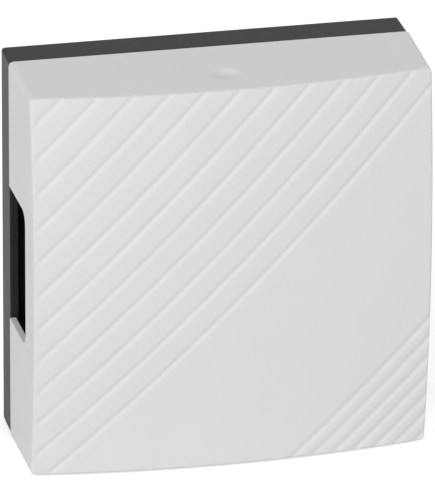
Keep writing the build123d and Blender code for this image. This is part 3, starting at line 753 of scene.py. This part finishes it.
def eased_copy(name, node, width):
    copy = bmesh.new()
    copy.from_mesh(frame["nodes"][node].data)
    bmesh.ops.remove_doubles(copy, verts=copy.verts, dist=merge_reach)
    bmesh.ops.dissolve_limit(copy, angle_limit=math.radians(flat_angle), verts=copy.verts, edges=copy.edges)
    work = helper_object(copy, name + "_work")
    ease = work.modifiers.new("ease", "BEVEL")
    ease.width = width
    ease.segments = ease_segments
    ease.limit_method = "ANGLE"
    ease.angle_limit = math.radians(ease_angle)
    eased = crisp(absorb(bmesh.new(), read_back(work)), crisp_angle)
    work = helper_object(eased, name + "_work")
    level = work.modifiers.new("level", "WEIGHTED_NORMAL")
    level.keep_sharp = True
    level.weight = 100
    slot = next(s["material_slot"] for s in frame["record"]["subparts"] if s["node"] == node)
    return placed_mesh(read_back(work), name, slot, "base", node)


for name, node, width in (
    ("base_moulding", "base", 0.18 * mm),
    ("yoke_strip", "magnet_yoke", 0.15 * mm),
    ("bobbin_moulding", "coil_bobbin", 0.15 * mm),
    ("low_bar", "tone_bar_low", 0.2 * mm),
    ("high_bar", "tone_bar_high", 0.2 * mm),
    ("block_moulding", "terminal_block", 0.15 * mm),
    ("brass_clamps", "terminal_clamps", 0.2 * mm),
):
    eased_copy(name, node, width)
pins = eased_copy("solder_pins", "bobbin_pins", 0.12 * mm)

# %% [markdown]
# ## Rows of small parts
# Screws, grommets and clips come in rows of the same part. One Geometry Nodes tree makes any row:
# points along a line, a copy of one part on each, made real at the end, with its finish. The same
# tree serves all rows, each with its own start, step and count. How a tree ends is a helper of its
# own, as the wound wires need it too.

# %% The row tree
def new_tree(name, kinds):
    tree = bpy.data.node_groups.new(name, "GeometryNodeTree")
    for label, kind in kinds.items():
        tree.interface.new_socket(label, in_out="INPUT", socket_type="NodeSocket" + kind)
    tree.interface.new_socket("Geometry", in_out="OUTPUT", socket_type="NodeSocketGeometry")
    return tree, tree.nodes.new("NodeGroupInput")


def close_tree(tree, enter, last, output):
    """Makes the last node's copies real, gives them their finish and puts them out."""
    real = tree.nodes.new("GeometryNodeRealizeInstances")
    dressed = tree.nodes.new("GeometryNodeSetMaterial")
    wire(tree, last, output, real, "Geometry")
    wire(tree, real, "Geometry", dressed, "Geometry")
    wire(tree, enter, "Finish", dressed, "Material")
    wire(tree, dressed, "Geometry", tree.nodes.new("NodeGroupOutput"), "Geometry")
    print("nodes in", tree.name, "tree:", len(tree.nodes))


row_inputs = {"Part": "Object", "Count": "Int", "Start": "Vector", "Step": "Vector", "Finish": "Material"}
row_tree, enter = new_tree("row_of_copies", row_inputs)
line = row_tree.nodes.new("GeometryNodeMeshLine")
source = row_tree.nodes.new("GeometryNodeObjectInfo")
copies = row_tree.nodes.new("GeometryNodeInstanceOnPoints")
wire(row_tree, enter, "Count", line, "Count")
wire(row_tree, enter, "Start", line, "Start Location")
wire(row_tree, enter, "Step", line, "Offset")
wire(row_tree, enter, "Part", source, "Object")
wire(row_tree, line, "Mesh", copies, "Points")
wire(row_tree, source, "Geometry", copies, "Instance")
close_tree(row_tree, enter, copies, "Instances")


# %% Running a tree to a plain mesh
def grow(tree, values):
    holder = linked("holder", bpy.data.meshes.new("holder"))
    modifier = holder.modifiers.new("grow", "NODES")
    modifier.node_group = tree
    sockets = {item.name: item.identifier for item in tree.interface.items_tree if item.in_out == "INPUT"}
    for label, value in values.items():
        modifier[sockets[label]] = value
    return read_back(holder)


def add_row(bm, part_bm, slot, count, start, step):
    part = helper_object(part_bm, "part")
    values = {"Part": part, "Count": count, "Start": start, "Step": step, "Finish": finish[slot]}
    absorb(bm, grow(row_tree, values))
    remove_whole(part)


def row_of(part_bm, name, slot, node, count, start, step):
    whole = bmesh.new()
    add_row(whole, part_bm, slot, count, start, step)
    piece_from(whole, name, slot, "base", node)


# %% [markdown]
# ## Turned parts
# Screws, grommets, strikers and the core are turned or moulded round, so each is lathed from a
# profile. A real profile has no knife edges, so a helper first rounds its corners a little.

# %% Rounding a profile
def soft(profile, radius, steps=3):
    eased = [profile[0]]
    for before, here, after in zip(profile, profile[1:], profile[2:]):
        back, on = Vector(before) - Vector(here), Vector(after) - Vector(here)
        reach = min(radius, 0.45 * back.length, 0.45 * on.length)
        first, last = Vector(here) + back.normalized() * reach, Vector(here) + on.normalized() * reach
        for n in range(steps + 1):
            t = n / steps
            eased.append(tuple(first * (1 - t) ** 2 + Vector(here) * 2 * t * (1 - t) + last * t * t))
    return eased + [profile[-1]]


# %% [markdown]
# The screws are slotted, as in most terminal blocks. The thread is a real helix: each point of the
# shank sinks or stands by how far along its turn it is. The slot is cut with a Boolean. A screw
# without a head has its thread right up to a small chamfer.

# %% One slotted screw
out_of_wall = Matrix.Rotation(-math.pi / 2, 4, "Z")
screw_segments = 24
rows_per_turn = 6
thread_share = 0.3
head_top_share = 0.44
screw_soft = 0.3 * mm
thread_end = 0.4 * mm


def outwards(bm):
    bmesh.ops.remove_doubles(bm, verts=bm.verts, dist=merge_reach / 2)
    bmesh.ops.recalc_face_normals(bm, faces=bm.faces)
    return bm


def slotted_screw(shank, length, head, head_high, slot_wide, slot_deep, pitch):
    core = shank / 2 - thread_share * pitch
    rows = int(length / pitch * rows_per_turn)
    stations = [(length * n / rows, None) for n in range(rows + 1)]
    if head:
        edge = [(length, shank / 2), (length, head / 2), (length + head_high, head_top_share * head)]
        stations += soft(edge, screw_soft)[1:]
    else:
        stations = [station for station in stations if station[0] < length - thread_end]
        stations += [(length - screw_soft, shank / 2), (length, shank / 2 - screw_soft)]
    body, rings = bmesh.new(), []
    for along, out in stations:
        ring = []
        for turn in around(screw_segments):
            phase = (along / pitch - turn / (2 * math.pi)) % 1
            thread = core + (shank / 2 - core) * (1 - abs(2 * phase - 1)) * min(1.0, along / pitch)
            r = thread if out is None else out
            ring.append(body.verts.new(out_of_wall @ Vector((along, r * math.cos(turn), r * math.sin(turn)))))
        rings.append(ring)
    for first, second in zip(rings, rings[1:]):
        band(body, first, second)
    body.faces.new(rings[0])
    body.faces.new(list(reversed(rings[-1])))
    outwards(body)
    top = length + head_high
    reach = max(head, shank)
    slot_cutter = bmesh.new()
    side = [(-top - overrun, -slot_wide / 2), (-top + slot_deep, -slot_wide / 2)]
    side += [(-top + slot_deep, slot_wide / 2), (-top - overrun, slot_wide / 2)]
    pushed(slot_cutter, side, "x", -reach, reach)
    return apply_tools(to_mesh(body, "screw"), ("DIFFERENCE", helper_object(slot_cutter, "slot_cutter")))


# %% Screws in their rows
slot_size = (0.9 * mm, 0.8 * mm)
# Name, model's node, count, axis of the row, shank, head, height of the head, pitch
screw_rows = (
    ("slotted_yoke_screws", "yoke_screws", 2, "z", 2.8 * mm, 5.6 * mm, 1.9 * mm, 0.7 * mm),
    ("slotted_block_screws", "block_screws", 2, "x", 2.2 * mm, 3.4 * mm, 1.6 * mm, 0.6 * mm),
    ("slotted_grub_screws", "terminal_screws", 3, "x", 3 * mm, 0, 0, 0.5 * mm),
)
for name, node, count, axis, shank, head, head_high, pitch in screw_rows:
    low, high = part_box(node)
    screw = slotted_screw(shank, high.y - low.y - head_high, head, head_high, *slot_size, pitch)
    run, widest = "xyz".index(axis), max(head, shank)
    start = Vector(((low.x + high.x) / 2, high.y, (low.z + high.z) / 2))
    start[run] = low[run] + widest / 2
    step = Vector((0, 0, 0))
    step[run] = (high[run] - low[run] - widest) / (count - 1)
    row_of(screw, name, "screw_steel", node, count, tuple(start), tuple(step))

# %% [markdown]
# ## Grommets and clips
# Each bar hangs at the two points that stand still while it sounds, in rubber grommets on pins. A
# push-on clip, pressed from spring steel, holds each one: a square with a raised, slit middle whose
# teeth bite the pin.

# %% Grommets
bar_thick = 2.5 * mm
waist = bar_thick / 2 + 0.05 * mm
flange_end = bar_thick / 2 + 1.25 * mm
flange_out, waist_out, pin_bore, grommet_soft = 4.5 * mm, 3.2 * mm, 2.05 * mm, 0.45 * mm
ring_profile = [(-flange_end, waist_out), (-flange_end, flange_out), (-waist, flange_out), (-waist, waist_out)]
ring_profile += [(waist, waist_out), (waist, flange_out), (flange_end, flange_out), (flange_end, pin_bore)]
ring_profile += [(-flange_end, pin_bore), (-flange_end, waist_out)]
grommet_segments = 40
for node, name in (("grommets_left", "left_grommets"), ("grommets_right", "right_grommets")):
    low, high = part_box(node)
    grommet = bmesh.new()
    lathe(grommet, soft(ring_profile, grommet_soft), Matrix.Identity(4), grommet_segments)
    start = ((low.x + high.x) / 2, (low.y + high.y) / 2, low.z + flange_out)
    step = (0, 0, high.z - low.z - 2 * flange_out)
    row_of(outwards(grommet), name, "grommet_rubber", node, 2, start, step)


# %% Push-on clips
clip_size, clip_thick, clip_rise = 7.5 * mm, 0.3 * mm, 0.28 * mm
stub, tooth_gap, slit_long, ledge = 4 * mm, 0.03 * mm, 0.9 * mm, 0.05 * mm
corner_share, shoulder_share = 0.62, 0.36
clip_room = 0.6 * mm
clip_segments = 64
slit_every, slit_places = 16, (7, 8)


def push_on_clip(side):
    clip, rings = bmesh.new(), []
    for n, turn in enumerate(around(clip_segments)):
        turn += math.pi / clip_segments
        c, s = math.cos(turn), math.sin(turn)
        edge = min(clip_size / 2 / max(abs(c), abs(s)), corner_share * clip_size)
        slit = n % slit_every in slit_places
        inner = stub / 2 + (slit_long if slit else tooth_gap)
        shoulder = max(shoulder_share * clip_size, inner + ledge)
        section = [(0, edge), (clip_thick, edge), (clip_thick, shoulder)]
        section += [(clip_thick + clip_rise, inner), (clip_rise, inner), (0, shoulder)]
        rings.append([clip.verts.new((side * x, r * c, r * s)) for x, r in section])
    for first, second in zip(rings, rings[1:] + rings[:1]):
        band(clip, first, second)
    bmesh.ops.recalc_face_normals(clip, faces=clip.faces)
    return clip


low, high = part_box("retaining_washers")
clip_back = high.x - clip_room
clips = bmesh.new()
for side, node in ((-1, "grommets_left"), (1, "grommets_right")):
    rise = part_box(node)[1].z - flange_out
    start = (side * clip_back, (low.y + high.y) / 2, -rise)
    add_row(clips, push_on_clip(side), "spring_steel", 2, start, (0, 0, 2 * rise))
piece_from(clips, "push_on_clips", "spring_steel", "base", "retaining_washers")

# %% [markdown]
# ## Core and strikers
# The core is turned steel with a hole in each end for a striker's spigot. The strikers are nylon,
# because steel on the bars would rattle, and their tips are narrow so that they strike a point. All
# three lie on the coil's axis. A fine turned line marks the middle of the core.

# %% Core
spigot, spigot_long, spigot_slack = 2 * mm, 8 * mm, 0.02 * mm
chamfer = 0.6 * mm
line_half, line_deep = 0.3 * mm, 0.05 * mm
core_soft, core_segments = 0.12 * mm, 64

low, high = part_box("plunger_core")
coil_place = Matrix.Translation((0, (low.y + high.y) / 2, 0))
core_out = (high.z - low.z) / 2
hole, deep = spigot + spigot_slack, spigot_long + spigot_slack
core_profile = [(low.x + deep, 0), (low.x + deep, hole), (low.x, hole), (low.x, core_out - chamfer)]
core_profile += [(low.x + chamfer, core_out), (-line_half, core_out), (0, core_out - line_deep)]
core_profile += [(line_half, core_out), (high.x - chamfer, core_out), (high.x, core_out - chamfer)]
core_profile += [(high.x, hole), (high.x - deep, hole), (high.x - deep, 0)]
core = bmesh.new()
lathe(core, soft(core_profile, core_soft), coil_place, core_segments)
piece_from(outwards(core), "turned_core", "core_steel", "plunger", "plunger_core")

# %% Strikers
neck, shaft, tip_face, tip_taper = 3.8 * mm, 3 * mm, 1.8 * mm, 1.2 * mm
shoulder_set, collar_set, collar_long, collar_out = 2 * mm, 7 * mm, 1.5 * mm, 6 * mm
striker_soft, soft_steps, striker_segments = 0.5 * mm, 5, 56


def striker(side, root, tip, collar):
    profile = [(root - spigot_long, 0), (root - spigot_long, spigot), (root, spigot), (root, neck)]
    if collar:
        collar_end = root + collar_set + collar_long
        profile += [(root + collar_set, neck), (root + collar_set, collar_out), (collar_end, collar_out)]
        profile += [(collar_end, shaft)]
    else:
        profile += [(root + shoulder_set, neck), (root + shoulder_set, shaft)]
    profile += [(tip - tip_taper, shaft), (tip, tip_face), (tip, 0)]
    turned_piece = bmesh.new()
    eased = [(side * along, out) for along, out in soft(profile, striker_soft, soft_steps)]
    lathe(turned_piece, eased, coil_place, striker_segments)
    return outwards(turned_piece)


left = striker(-1, -low.x, -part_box("striker_tip_left")[0].x, True)
right = striker(1, high.x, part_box("striker_tip_right")[1].x, False)
piece_from(left, "left_striker", "striker_nylon", "plunger", "striker_tip_left", limit=50)
piece_from(right, "right_striker", "striker_nylon", "plunger", "striker_tip_right", limit=50)

# %% [markdown]
# ## Winding and return spring
# Both are wire wound round the coil's axis, so one Geometry Nodes tree makes both: a spiral curve
# with a round section swept along it. A float curve moves the turns along the axis. For the winding
# it is a straight line, and for the spring it is nearly flat at both ends, which closes the end
# turns as on a real spring.

# %% The wound wire tree
def wound_tree(name, closing):
    floats = dict.fromkeys(("Wire", "Turns", "Radius", "Length"), "Float")
    counts = dict.fromkeys(("Sides", "Steps per Turn"), "Int")
    tree, enter = new_tree(name, {**floats, **counts, "Start": "Vector", "Finish": "Material"})
    spiral = add_node(tree, "GeometryNodeCurveSpiral", (), {"Height": 0.0})
    share = tree.nodes.new("GeometryNodeSplineParameter")
    curve = tree.nodes.new("ShaderNodeFloatCurve")
    points = curve.mapping.curves[0].points
    for x, y in ((closing, closing / 8), (1 - closing, 1 - closing / 8)):
        points.new(x, y)
    for point in points:
        point.handle_type = "VECTOR"
    curve.mapping.update()
    rise = add_node(tree, "ShaderNodeMath", {"operation": "MULTIPLY"})
    offset = tree.nodes.new("ShaderNodeCombineXYZ")
    lifted = tree.nodes.new("GeometryNodeSetPosition")
    turn = add_node(tree, "GeometryNodeTransform", (), {"Rotation": (0, math.radians(90), 0)})
    section = tree.nodes.new("GeometryNodeCurvePrimitiveCircle")
    half_wire = add_node(tree, "ShaderNodeMath", {"operation": "MULTIPLY"}, {1: 0.5})
    swept = add_node(tree, "GeometryNodeCurveToMesh", (), {"Fill Caps": True})
    wire(tree, enter, "Steps per Turn", spiral, "Resolution")
    wire(tree, enter, "Turns", spiral, "Rotations")
    wire(tree, enter, "Radius", spiral, "Start Radius")
    wire(tree, enter, "Radius", spiral, "End Radius")
    wire(tree, share, "Factor", curve, "Value")
    wire(tree, curve, "Value", rise, 0)
    wire(tree, enter, "Length", rise, 1)
    wire(tree, rise, 0, offset, "Z")
    wire(tree, spiral, "Curve", lifted, "Geometry")
    wire(tree, offset, 0, lifted, "Offset")
    wire(tree, lifted, "Geometry", turn, "Geometry")
    wire(tree, enter, "Start", turn, "Translation")
    wire(tree, enter, "Wire", half_wire, 0)
    wire(tree, half_wire, 0, section, "Radius")
    wire(tree, enter, "Sides", section, "Resolution")
    wire(tree, turn, "Geometry", swept, "Curve")
    wire(tree, section, "Curve", swept, "Profile Curve")
    close_tree(tree, enter, swept, "Mesh")
    return tree


# %% [markdown]
# The winding is 0.4 mm wire, turn beside turn. Only its outer layer shows, and it lies on a plain
# core that stands for the layers below. The spring is stiffer wire in open turns. In the chime it
# shortens with the plunger's stroke, held at the yoke; here it is wound at one length.

# %% Wound wire as a mesh
steps_per_turn = 40


def wound(name, node, slot, thick, sides, turns, closing):
    """Winds a wire that fills the box of a node. Without a number of turns, they touch each other."""
    low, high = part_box(node)
    length = high.x - low.x - thick
    values = {"Wire": thick, "Sides": sides, "Turns": turns or length / thick, "Steps per Turn": steps_per_turn}
    values |= {"Radius": (high.z - low.z - thick) / 2, "Length": length, "Finish": finish[slot]}
    values["Start"] = (low.x + thick / 2, (low.y + high.y) / 2, 0)
    return absorb(bmesh.new(), grow(wound_tree(name, closing), values))


# %% Winding
copper = 0.4 * mm
bore = 5.3 * mm
overlap_share = 0.7

winding = wound("winding_wire", "coil_winding", "enamelled_copper", copper, 6, None, 0.0)
low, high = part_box("coil_winding")
under = (high.z - low.z) / 2 - overlap_share * copper
layers = [(low.x, bore), (low.x, under), (high.x, under), (high.x, bore), (low.x, bore)]
lathe(winding, layers, coil_place, core_segments)
piece_from(outwards(winding), "copper_winding", "enamelled_copper", "base", "coil_winding", limit=70)

# %% Return spring
spring_thick = 0.6 * mm
spring_turns = 6.5
closed_share = 0.15

coils = wound("spring_wire", "return_spring", "spring_steel", spring_thick, 10, spring_turns, closed_share)
spring = piece_from(outwards(coils), "wire_spring", "spring_steel", "base", "return_spring", limit=60)
low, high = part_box("return_spring")
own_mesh(spring)

# %% [markdown]
# ## Tape
# Yellow polyester tape goes nearly one and a half times round the winding. Where its end lies on
# the first turn there is a step. The band is built ring by ring round the coil, with one layer or
# two, and the step is where the second layer ends.

# %% Tape round the winding
layer, glue, corner_cut = 0.13 * mm, 0.02 * mm, (0.05 * mm, 0.04 * mm)
second_share, fade_share = 0.42, 0.02
first_inset = 0.25 * mm
band_thick = 0.3 * mm
tape_segments = 120

low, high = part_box("coil_tape")
middle_y, tape_out = (low.y + high.y) / 2, (high.z - low.z) / 2
tape = bmesh.new()
rings = []
for turn in around(tape_segments):
    share = turn / (2 * math.pi)
    doubled = share < second_share
    lift = layer if doubled else layer * max(0.0, 1 - (share - second_share) / fade_share)
    out, inside = tape_out - layer - glue + lift, tape_out - band_thick
    reach = (high.x - low.x) / 2 - (0.0 if doubled else first_inset)
    left_half = [(-reach, inside), (-reach, out - corner_cut[1]), (corner_cut[0] - reach, out)]
    section = left_half + [(0, out)] + [(-x, r) for x, r in reversed(left_half)]
    rings.append([tape.verts.new((x, middle_y + r * math.cos(turn), r * math.sin(turn))) for x, r in section])
for first, second in zip(rings, rings[1:] + rings[:1]):
    band(tape, first, second)
bmesh.ops.recalc_face_normals(tape, faces=tape.faces)
piece_from(tape, "polyester_tape", "coil_tape", "base", "coil_tape", limit=25)

# %% [markdown]
# ## Leads
# Two insulated leads go from the solder pins to the outer clamps. Each is a smooth NURBS curve with
# a round section, read back as a mesh. The ends are stripped and tinned, and a drop of solder holds
# each one to its pin. They join the pins' own mesh, because all of it is tin.

# %% Leads with stripped ends
lead = 1.4 * mm
# Points of the route in millimetres, for the right-hand lead
lead_route = [(15, -12, -19.9), (15.4, -11.8, -22.2), (16.6, -10.9, -25.2), (15.6, -9.6, -29.8)]
lead_route += [(12.3, -9.5, -32.2), (9.1, -9.5, -33.4), (9, -9.5, -36.2)]


def tube(points, diameter):
    curve = bpy.data.curves.new("route", "CURVE")
    curve.dimensions = "3D"
    curve.bevel_depth = diameter / 2
    curve.bevel_resolution = 2
    curve.use_fill_caps = True
    curve.resolution_u = 10
    spline = curve.splines.new("NURBS")
    spline.points.add(len(points) - 1)
    for point, place in zip(spline.points, points):
        point.co = (*place, 1)
    spline.order_u = 3
    spline.use_endpoint_u = True
    return read_back(linked("route", curve))


tin = bmesh.new()
tin.from_mesh(pins.data)
remove_whole(pins)
bare = 0.55 * lead
# Points of the bare ends above the route's first and last point, and the profile of a solder drop
# as (along, out) points, all in millimetres
bare_rises = ((1.3, 0.6, -0.4), (0.3, -1.2, -2.4))
drop = [(-0.5, 0), (-0.3, 0.55), (0.5, 0.78), (1.4, 0.62), (2.1, 0)]
drop_sink, drop_soft, drop_segments = 0.3 * mm, 0.4 * mm, 20
solder = soft([(along * mm, out * mm) for along, out in drop], drop_soft)
for side, node, name in ((-1, "coil_lead_left", "left_lead"), (1, "coil_lead_right", "right_lead")):
    points = [Vector((side * x * mm, y * mm, z * mm)) for x, y, z in lead_route]
    insulation = outwards(absorb(bmesh.new(), tube(points, lead)))
    piece_from(insulation, name, "lead_insulation", "base", node, limit=50)
    for point, rises in zip((points[0], points[-1]), bare_rises):
        absorb(tin, tube([point + Vector((0, 0, rise * mm)) for rise in rises], bare))
    joint = Matrix.Translation(points[0] - Vector((0, 0, drop_sink)))
    lathe(tin, solder, joint @ upright, drop_segments)
piece_from(outwards(tin), "tinned_joints", "tinned_pins", "base", "bobbin_pins", limit=45)
